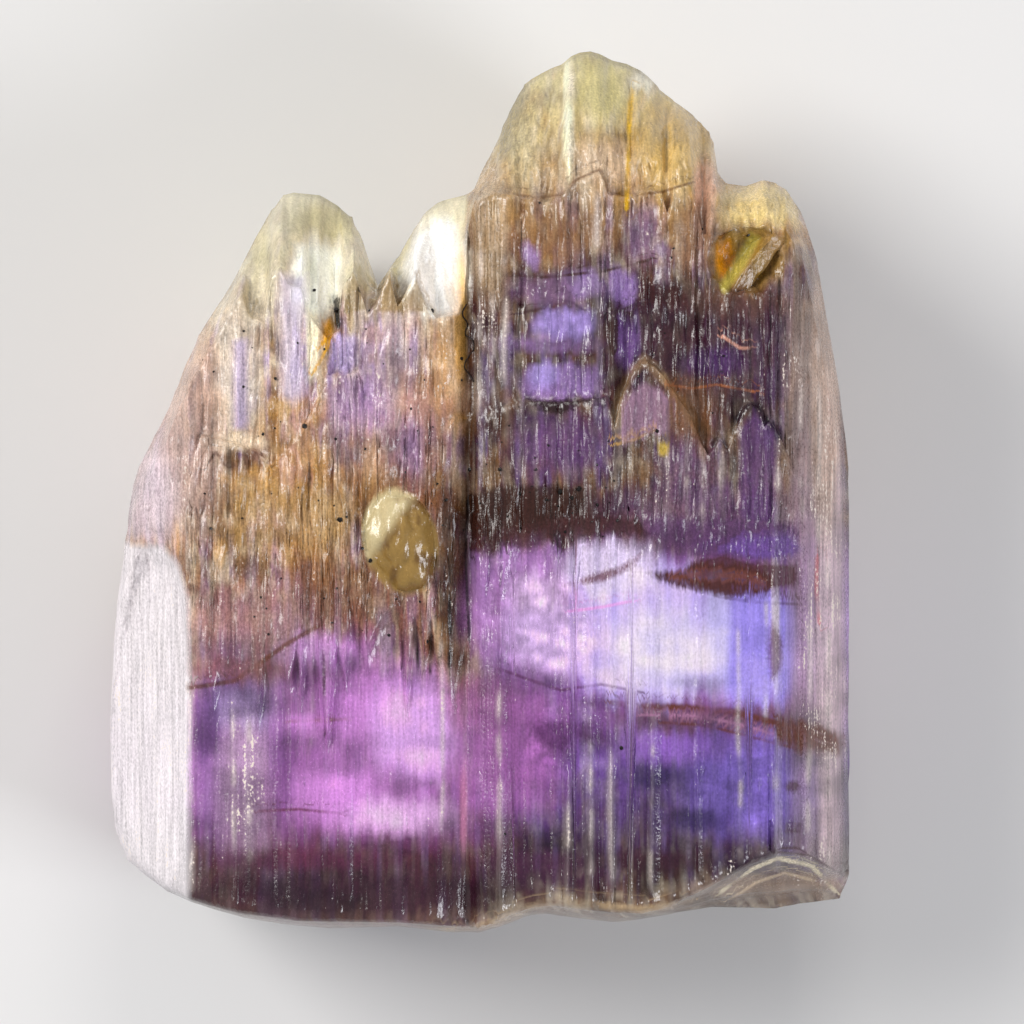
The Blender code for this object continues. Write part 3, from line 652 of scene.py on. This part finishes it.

# How the surface takes light: rows are (pixel row, see-through, roughness, painted glints, striation), and
# patches are as those of paint, but with these four values for the colour
finishAndGlints = {
    "leftRows": [
        (190, 0.3, 0.16, 0, 0.12), (285, 0.26, 0.2, 0.3, 0.28), (330, 0.1, 0.26, 0.46, 0.36),
        (600, 0.06, 0.28, 0.4, 0.46), (650, 0.22, 0.22, 0.25, 0.42), (700, 0.32, 0.2, 0.04, 0.25),
        (880, 0.34, 0.22, 0.05, 0.3), (930, 0.36, 0.18, 0.05, 0.05),
    ],
    "rightRows": [
        (50, 0.32, 0.16, 0, 0.22), (170, 0.24, 0.22, 0.32, 0.35), (240, 0.12, 0.26, 0.24, 0.36),
        (420, 0.15, 0.24, 0.12, 0.34), (530, 0.1, 0.26, 0.18, 0.45), (570, 0.28, 0.18, 0.06, 0.25),
        (850, 0.34, 0.18, 0.06, 0.32), (900, 0.36, 0.16, 0.1, 0.05),
    ],
    "patches": [
        (0.02, 0.4, 0.5, 0.36, 1, 148, 725, 46, 180, 0.1),
        (0.06, 0.38, 0.8, 0.6, 0.9, 822, 640, 24, 240, 0.5),
        (0.26, 0.18, 0.0, 0.14, 0.9, 650, 640, 130, 66, 0.4),
        (0.24, 0.24, 0.3, 0.1, 0.9, 545, 640, 46, 40, 0.5),
        (0.26, 0.2, 0.12, 0.2, 0.9, 565, 325, 48, 58, 0.6),
        (0.2, 0.3, 0.74, 0.3, 0.9, 248, 770, 26, 76, 0.9),
        (0.08, 0.3, 0.9, 0.5, 0.9, 490, 260, 16, 80, 0.9), (0.1, 0.3, 0.4, 0.5, 0.8, 680, 468, 44, 46, 0.9),
        (0.08, 0.32, 0.7, 0.5, 0.8, 792, 400, 22, 110, 0.9),
        (0.04, 0.22, 0.0, 0.12, 0.95, 438, 270, 32, 46, 0.6),
        (0.02, 0.22, 0.0, 0.12, 0.95, 316, 282, 26, 40, 0.6),
        (0.26, 0.2, 0.1, 0.5, 0.9, 520, 130, 24, 60, 0.8),
        (0.24, 0.26, 0.8, 0.1, 0.8, 770, 870, 60, 24, 0.9),
    ],
    "clumps": (14, 34),         # width and length of the places with the most painted glints
}


# Lays soft-edged patches over a table of values
def layPatches(values, px, py, patches, read=lambda *numbers: numbers):
    toothX = layeredNoise(px, py, paint["teethAcross"])
    toothY = layeredNoise(px, py, paint["teethAlong"])
    boxy = 2.4                  # 2 gives ovals, and more gives boxes
    for *numbers, amount, cx, cy, rx, ry, soft in patches:
        # small patches have smaller teeth
        across = np.abs((px + toothX * min(1, rx / 30) - cx) / rx)
        along = np.abs((py + toothY * min(1, ry / 25) - cy) / ry)
        reach = (across ** boxy + along ** boxy) ** (1 / boxy)
        cover = amount * (1 - smoothStep(reach, 1 - soft * 0.6, 1 + soft * 0.6))
        values += cover[:, None] * (np.array(read(*numbers)) - values)
    return values


# Distances in pixels that the crisp features use
crisp = {
    "reach": 14.0,              # how far from its edge a shape is worked out
    "margin": 16,
    "shapeGate": (9, 13),       # where a shape, and where a line, is shut off outside its edge
    "lineGate": (5, 11),
    "claim": -9.0,              # how far outside its edge a feature takes places that are free
    "overlap": -3.0,            # and places that belong to an earlier one
    "patchiness": [(16, 16, 191, 2, 2.0)],
}


# Colours of the crisp features, and fields from which the material finds their edges.
# A place is inside where |field 0| is less than field 3; field 1 shuts off places far away and
# field 2 is the softness. Both kinds of feature change evenly across an edge, so the edge stays
# sharp between the points of the mesh.
def layCrisp(zones, px, py, shapes, lines):
    reach, margin = crisp["reach"], crisp["margin"]
    colour = np.zeros((len(px), 4))
    edge = np.tile([2 * reach, 0.0, 4.0, reach], (len(px), 1))

    def lay(value, amount, points, closed, width, soft):
        columns, rows = zip(*points)
        near = np.flatnonzero(
            (px > min(columns) - margin) & (px < max(columns) + margin)
            & (py > min(rows) - margin) & (py < max(rows) + margin)
        )
        gap, side = nearestOnPath(px[near], py[near], points, closed)
        if closed:
            inside = np.where(insideShape(px[near], py[near], points), gap, -gap)
            inside = np.clip(inside, -reach, reach)
            field, wide, (start, stop) = reach - inside, reach, crisp["shapeGate"]
        else:
            inside = width / 2 - gap
            field, wide, (start, stop) = gap * side, width / 2, crisp["lineGate"]
        gate = 1 - smoothStep(-inside, start, stop)
        earlier = edge[near, 3] - np.abs(edge[near, 0])
        taken = inside > crisp["claim"]
        # what lies under a new feature stays in the broad colours
        under = near[taken & (colour[near, 3] > 0) & (earlier > 0)]
        zones[under] += colour[under, 3:] * (colour[under, :3] - zones[under])
        better = taken & ((earlier < crisp["claim"]) | (inside > crisp["overlap"]) | (inside > earlier))
        places = near[better]
        patchy = 0.8 + layeredNoise(px[places], py[places], crisp["patchiness"])
        colour[places, :3] = value
        colour[places, 3] = amount * (1.0 if closed else np.clip(patchy, 0.15, 1))
        edge[places, 0] = field[better]
        edge[places, 1] = gate[better]
        edge[places, 2] = soft
        edge[places, 3] = wide

    for value, amount, soft, outline in shapes:
        lay(rgb(*value), amount, outline, True, 0, soft)
    for value, amount, width, path in lines:
        lay(rgb(*value), amount, path, False, width, 0.6 + 0.4 * width)
    return colour, edge


# Stores a table of values as an attribute of the mesh
def keep(mesh, name, table):
    full = np.ones((len(table), 4), np.float32)
    full[:, :table.shape[1]] = table
    mesh.attributes.new(name, "FLOAT_COLOR", "POINT").data.foreach_set("color", full.ravel())


# Broad colours: rows, growth columns, patches, wisps and crumpled fractures
def broadColours(px, py, pz, right, wavy):
    zones = alongBlocks(wavy, right, paint, "leftRows", "rightRows")
    weights = alongBlocks(wavy, right, paint, "leftColumns", "rightColumns")
    for k, (colour, wide, long, seed) in enumerate(paint["columns"]):
        column = cloudNoise((px + pz * 0.3) / wide, py / long, seed, 3)
        zones += (weights[:, k] * smoothStep(column, 0.02, 0.17))[:, None] * (np.array(colour) - zones)
    zones = layPatches(zones, px, py, paint["patches"], rgb)
    strength = 0.7 + 0.9 * smoothStep(py, 600, 700)
    tone = 1 + strength * layeredNoise(px, py, paint["wisps"]) + layeredNoise(px, py, paint["shades"])
    zones *= tone[:, None]
    folds = np.abs(cloudNoise((px + py * 0.4) / 17, (py - px * 0.3) / 11, 211, 3)) * 4 - 0.5
    for (cx, cy), (rx, ry), amount in paint["crumpled"]:
        reach = np.hypot((px - cx) / rx, (py - cy) / ry)
        zones *= (1 + amount * (1 - smoothStep(reach, 0.6, 1)) * folds)[:, None]
    return zones


# The small grain, over both tables, with painted light on its upper-left side
def paintGrain(zones, touch, px, py, onGrain):
    cx, cy = grain["middle"]
    # the upper-left side is made paler: painted light on the side that faces the lamp
    lit = (cx - px) + (cy - py) * 0.6 + 14 * cloudNoise(px / 14, py / 20, 171)
    paintedLitShare = smoothStep(lit, 8, 26)[:, None]
    darkShare = smoothStep(cloudNoise(px / 12, py / 16, 181), -0.02, 0.14)[:, None] * 0.8
    colour, dark, paintedLitSide = (np.array(grain[name]) for name in ("colour", "dark", "paintedLitSide"))
    mixed = colour + darkShare * (dark - colour)
    mixed += paintedLitShare * (paintedLitSide - mixed)
    zones += onGrain * (mixed - zones)
    touch += onGrain * (np.array(grain["touch"]) - touch)


def paintCrystal(crystal):
    mesh = crystal.data
    points = vectorsOf(mesh, "co")
    px, py, pz = pixelsOf(points)
    right = rightShare(px, py)[:, None]
    wavy = py + layeredNoise(px, py, paint["skinWaves"])
    nearEdge = smoothStep(py, 540, 610) * (1 - smoothStep(py, 760, 820))
    wavy -= alongRows(px, paint["skinEdge"])[:, 0] * nearEdge * (1 - right[:, 0])
    zones = broadColours(px, py, pz, right, wavy)
    touch = alongBlocks(wavy, right, finishAndGlints, "leftRows", "rightRows")
    touch = layPatches(touch, px, py, finishAndGlints["patches"])
    # painted glints are gathered in clumps
    wide, long = finishAndGlints["clumps"]
    touch[:, 2] *= 0.25 + 1.5 * smoothStep(cloudNoise(px / wide, py / long, 161, 3), -0.05, 0.2)
    # along each ridge: more painted glints, a rougher surface, and the pale colour of a painted highlight
    ridgeHighlightColour, share = paint["ridgeHighlightColour"]
    for column, top, bottom, height, width in relief["ridges"]:
        shine = np.exp(-((px - ridgePath(column, py)) / (width * 0.75)) ** 2) * ridgeReach(py, top, bottom)
        shine *= 0.15 + 0.85 * smoothStep(cloudNoise(py / 22, py * 0, column + 7, 3), -0.12, 0.16)
        touch[:, 2] = np.maximum(touch[:, 2], shine)
        touch[:, 1] = np.maximum(touch[:, 1], shine * 0.35)
        zones += (shine * share)[:, None] * (np.array(ridgeHighlightColour) - zones)
    onGrain = ((1 - smoothStep(grainReach(px, py), 0.92, 1.02)) * smoothStep(pz, 290, 315))[:, None]
    paintGrain(zones, touch, px, py, onGrain)
    # crisp features lie on the front only, and not on the grain
    front = smoothStep(points[:, 2] / mm, 2.0, 4.2)[:, None]
    colour, edge = layCrisp(zones, px, py, paint["shapes"], paint["lines"])
    colour[:, 3:] *= front * (1 - onGrain)
    keep(mesh, "zones", vivid(zones))
    keep(mesh, "crispColour", np.hstack([vivid(colour[:, :3]), colour[:, 3:]]))
    keep(mesh, "crispEdge", edge)
    keep(mesh, "finishAndGlints", touch)


def vivid(colours):
    grey = colours.mean(axis=1, keepdims=True)
    return np.clip((grey + paint["vivid"] * (colours - grey)) * paint["bright"], 0, 1)


# The crystal's material

gem = {
    "ior": 1.69,
    "specular": 0.32,
    "absorbColour": (0.72, 0.60, 0.86),
    "absorbDensity": 40.0,
    # both patterns: how often they repeat along X, Y and Z in a pixel
    "threads": (0.36, 0.013, 0.12),
    "etch": (0.46, 0.32, 0.46),
    "patternDetail": 1.0,
    "patternRoughness": 0.55,
    "threadShare": 0.45,        # what beads are made of
    "etchShare": 0.55,
    "streakContrast": 2.6,
    "etchContrast": 1.6,
    "etchLeast": 0.35,
    "darkestTone": 0.12,
    "ragged": 1.2,
    "raggedMost": 4.0,
    "paintedGlintColour": rgb(230, 216, 204),
    "paintedGlintLevel": 0.716,      # how high beads have to be for a painted glint
    "paintedGlintGain": 0.138,       # and how much lower that is where there are many painted glints
    "paintedGlintEdge": 16.0,
    "crispDulls": 0.4,          # what crisp features and painted glints take from the see-through share
    "paintedGlintDulls": 0.8,
    "paler": 0.45,
    "roughVaries": 0.3,
    "bumpEtch": 0.35,
    "bumpStrength": 0.8,
    "bumpDepth": 0.022 * mm,
}


# Adds a node; a plug that is given a socket is linked, and one given a value is set
def addNode(tree, kind, plugs=None, **settings):
    node = tree.nodes.new(kind)
    for name, value in settings.items():
        setattr(node, name, value)
    for name, value in (plugs or {}).items():
        if isinstance(value, bpy.types.NodeSocket):
            tree.links.new(value, node.inputs[name])
        else:
            node.inputs[name].default_value = value
    return node


def calculate(tree, operation, first, second=0.0, third=0.0, clamp=False):
    plugs = {0: first, 1: second, 2: third}
    return addNode(tree, "ShaderNodeMath", plugs, operation=operation, use_clamp=clamp).outputs[0]


def blend(tree, share, first, second):
    plugs = {0: share, 6: first, 7: second}
    return addNode(tree, "ShaderNodeMix", plugs, data_type="RGBA").outputs[2]


# How much a value is above or below the middle of a pattern
def fromMiddle(tree, pattern):
    return calculate(tree, "SUBTRACT", pattern, 0.5)


def scaled(tree, first, scale):
    return addNode(tree, "ShaderNodeVectorMath", {0: first, "Scale": scale}, operation="SCALE").outputs[0]


def patternNoise(tree, place, stretch):
    moved = addNode(tree, "ShaderNodeMapping", {"Vector": place, "Scale": stretch}).outputs[0]
    plugs = {
        "Vector": moved, "Scale": 1.0, "Detail": gem["patternDetail"], "Roughness": gem["patternRoughness"],
    }
    return addNode(tree, "ShaderNodeTexNoise", plugs).outputs[0]


# Share of a crisp feature at a place, with its edge made ragged, and its colour
def crispMask(tree, tooth):
    edge = addNode(tree, "ShaderNodeAttribute", attribute_name="crispEdge")
    parts = addNode(tree, "ShaderNodeSeparateColor", {0: edge.outputs["Color"]})
    wide = edge.outputs["Alpha"]
    colour = addNode(tree, "ShaderNodeAttribute", attribute_name="crispColour")
    sway = calculate(tree, "MULTIPLY", calculate(tree, "MINIMUM", wide, gem["raggedMost"]), gem["ragged"])
    moved = calculate(tree, "MULTIPLY_ADD", fromMiddle(tree, tooth), sway, parts.outputs[0])
    inside = calculate(tree, "SUBTRACT", wide, calculate(tree, "ABSOLUTE", moved))
    share = calculate(tree, "ADD", calculate(tree, "DIVIDE", inside, parts.outputs[2]), 0.5, clamp=True)
    share = calculate(tree, "MULTIPLY", share, parts.outputs[1])
    return calculate(tree, "MULTIPLY", share, colour.outputs["Alpha"]), colour.outputs["Color"]


def crystalMaterial():
    material = bpy.data.materials.new("tanzanite")
    material.use_nodes = True
    tree = material.node_tree
    shader = tree.nodes["Principled BSDF"]
    place = scaled(tree, addNode(tree, "ShaderNodeTexCoord").outputs["Object"], 1 / photo["pixel"])
    zones = addNode(tree, "ShaderNodeAttribute", attribute_name="zones").outputs["Color"]
    touch = addNode(tree, "ShaderNodeAttribute", attribute_name="finishAndGlints")
    parts = addNode(tree, "ShaderNodeSeparateColor", {0: touch.outputs["Color"]})
    clear, rough, paintedGlintAmount = parts.outputs
    striation = touch.outputs["Alpha"]

    threads = patternNoise(tree, place, gem["threads"])
    etch = patternNoise(tree, place, gem["etch"])
    # painted glints sit where threads and etching are both high
    fromEtch = calculate(tree, "MULTIPLY", etch, gem["etchShare"])
    beads = calculate(tree, "MULTIPLY_ADD", threads, gem["threadShare"], fromEtch)

    # colour: the broad zones, the crisp features, the streaks and etching, then the painted glints
    share, layer = crispMask(tree, beads)
    colour = blend(tree, share, zones, layer)
    streak = calculate(tree, "MULTIPLY", fromMiddle(tree, threads), striation)
    tone = calculate(tree, "MULTIPLY_ADD", streak, gem["streakContrast"], 1.0)
    coarse = calculate(tree, "MULTIPLY_ADD", striation, gem["etchContrast"], gem["etchLeast"])
    tone = calculate(tree, "MULTIPLY_ADD", fromMiddle(tree, etch), coarse, tone)
    colour = scaled(tree, colour, calculate(tree, "MAXIMUM", tone, gem["darkestTone"]))
    # painted glints: where beads rise above a level, the colour turns near-white as a sparkle highlight
    level = calculate(tree, "MULTIPLY_ADD", paintedGlintAmount, -gem["paintedGlintGain"], gem["paintedGlintLevel"])
    above = calculate(tree, "SUBTRACT", beads, level)
    paintedGlint = calculate(tree, "MULTIPLY", above, gem["paintedGlintEdge"], clamp=True)
    colour = blend(tree, paintedGlint, colour, (*gem["paintedGlintColour"], 1))

    dull = calculate(tree, "MULTIPLY_ADD", share, -gem["crispDulls"], 1.0)
    clear = calculate(tree, "MULTIPLY", clear, dull)
    dull = calculate(tree, "MULTIPLY_ADD", paintedGlint, -gem["paintedGlintDulls"], 1.0)
    clear = calculate(tree, "MULTIPLY", clear, dull, clamp=True)
    # light crosses a see-through place twice, so its colour is made paler
    power = calculate(tree, "MULTIPLY_ADD", clear, -gem["paler"], 1.0)
    colour = addNode(tree, "ShaderNodeGamma", {0: colour, 1: power}).outputs[0]
    rough = calculate(tree, "MULTIPLY_ADD", fromMiddle(tree, etch), gem["roughVaries"], rough, clamp=True)

    height = calculate(tree, "MULTIPLY", threads, striation)
    height = calculate(tree, "MULTIPLY_ADD", etch, gem["bumpEtch"], height)
    plugs = {"Strength": gem["bumpStrength"], "Distance": gem["bumpDepth"], "Height": height}
    bump = addNode(tree, "ShaderNodeBump", plugs)

    shader.inputs["IOR"].default_value = gem["ior"]
    shader.inputs["Specular IOR Level"].default_value = gem["specular"]
    tree.links.new(colour, shader.inputs["Base Color"])
    tree.links.new(clear, shader.inputs["Transmission Weight"])
    tree.links.new(rough, shader.inputs["Roughness"])
    tree.links.new(bump.outputs[0], shader.inputs["Normal"])
    plugs = {"Color": (*gem["absorbColour"], 1), "Density": gem["absorbDensity"]}
    volume = addNode(tree, "ShaderNodeVolumeAbsorption", plugs)
    tree.links.new(volume.outputs[0], tree.nodes["Material Output"].inputs["Volume"])
    return material


def makeCrystal():
    crystal = copySolid()
    cutFine(crystal)
    print("crystal cut fine:", len(crystal.data.polygons), "faces")
    softenSteps(crystal)
    giveRelief(crystal)
    paintCrystal(crystal)
    crystal.data.materials.clear()
    crystal.data.materials.append(crystalMaterial())
    makeActive(crystal)
    bpy.ops.object.shade_smooth_by_angle(angle=math.radians(surface["creaseAngle"]))
    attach(crystal, "root")
    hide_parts(surface["node"])
    return crystal


# The place on the front of the crystal at a pixel, or nothing
def spotOn(crystal, column, row):
    x, y = toCrystal(column, row)
    start = Vector((x, y, surface["clearAbove"]))
    found, spot, normal, face = crystal.ray_cast(start, Vector((0, 0, -1)))
    return spot if found else None


# Dark mineral specks on the face: (pixel column, pixel row, size in pixels)
specks = {
    "placed": [
        (316, 292, 3), (433, 313, 4), (278, 380, 3), (307, 427, 4), (266, 435, 3), (342, 520, 5),
        (338, 312, 4), (300, 345, 2), (246, 388, 3), (462, 360, 3), (470, 470, 3), (447, 500, 3),
        (560, 492, 5), (578, 489, 5), (572, 498, 4), (546, 500, 3), (520, 494, 3), (596, 505, 3),
        (655, 432, 3), (637, 378, 2), (746, 238, 3), (700, 232, 2), (500, 470, 3), (536, 470, 2),
        (372, 560, 4), (364, 548, 3), (428, 640, 3), (390, 634, 3), (505, 830, 2), (620, 745, 3),
    ],
    # (how many, left, right, top, bottom)
    "scattered": [(46, 205, 465, 300, 640), (26, 470, 620, 440, 540), (14, 480, 780, 200, 440)],
    "sizes": (1.6, 3.4),
    "larger": 1.4,              # how much larger the placed ones are made
    "squash": (0.7, 1.2),
    "turn": (0, 3),             # radians
    "seed": 7,
    "colour": rgb(24, 20, 18),
}


def makeSpecks(crystal):
    shuffled = np.random.default_rng(specks["seed"])
    places = [(column, row, size * specks["larger"]) for column, row, size in specks["placed"]]
    for count, left, right, top, bottom in specks["scattered"]:
        columns = shuffled.uniform(left, right, count)
        rows = shuffled.uniform(top, bottom, count)
        places += list(zip(columns, rows, shuffled.uniform(*specks["sizes"], count)))
    bpy.ops.object.select_all(action="DESELECT")
    made = []
    for column, row, size in places:
        spot = spotOn(crystal, column, row)
        if not spot:
            continue
        radius = size * photo["pixel"] / 2
        bpy.ops.mesh.primitive_ico_sphere_add(subdivisions=1, radius=radius, location=spot)
        speck = bpy.context.object
        speck.scale = shuffled.uniform(*specks["squash"], 3)
        speck.rotation_euler = shuffled.uniform(*specks["turn"], 3)
        made.append(speck)
    for speck in made:
        speck.select_set(True)
    bpy.context.view_layer.objects.active = made[0]
    bpy.ops.object.join()
    joined = bpy.context.object
    bpy.ops.object.transform_apply(location=True, rotation=True, scale=True)
    joined.name = "darkSpecks"
    joined.data.materials.append(plainMaterial("darkMineral", specks["colour"], 0.35))
    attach(joined, "root")


# A loose textile fibre in the groove, along (pixel column, pixel row)
fibre = {
    "thickness": 0.03 * mm,
    "path": [
        (467, 306), (463, 316), (468, 326), (466, 336), (472, 341), (474, 350), (469, 358), (465, 368),
        (470, 376), (474, 383),
    ],
    "colour": rgb(40, 30, 30),
}


def makeFibre(crystal):
    curve = bpy.data.curves.new("fibre", "CURVE")
    curve.dimensions = "3D"
    curve.bevel_depth = fibre["thickness"] / 2
    curve.bevel_resolution = 1
    curve.resolution_u = 4
    curve.use_fill_caps = True
    spline = curve.splines.new("BEZIER")
    spline.bezier_points.add(len(fibre["path"]) - 1)
    for knot, (column, row) in zip(spline.bezier_points, fibre["path"]):
        knot.co = spotOn(crystal, column, row) + Vector((0, 0, fibre["thickness"]))
        knot.handle_left_type = knot.handle_right_type = "AUTO"
    strand = bpy.data.objects.new("fibre", curve)
    bpy.context.collection.objects.link(strand)
    makeActive(strand)
    bpy.ops.object.convert(target="MESH")
    strand = bpy.context.object
    editAll()
    bpy.ops.mesh.remove_doubles(threshold=surface["mergeGap"])
    bpy.ops.mesh.normals_make_consistent(inside=False)
    setMode("OBJECT")
    strand.data.materials.append(plainMaterial("darkFibre", fibre["colour"], 0.6))
    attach(strand, "root")


makeCamera()
makeStudio()
print("camera, floor and lamps made")
crystal = makeCrystal()
print("crystal made")
makeSpecks(crystal)
makeFibre(crystal)
print("specks and fibre made")
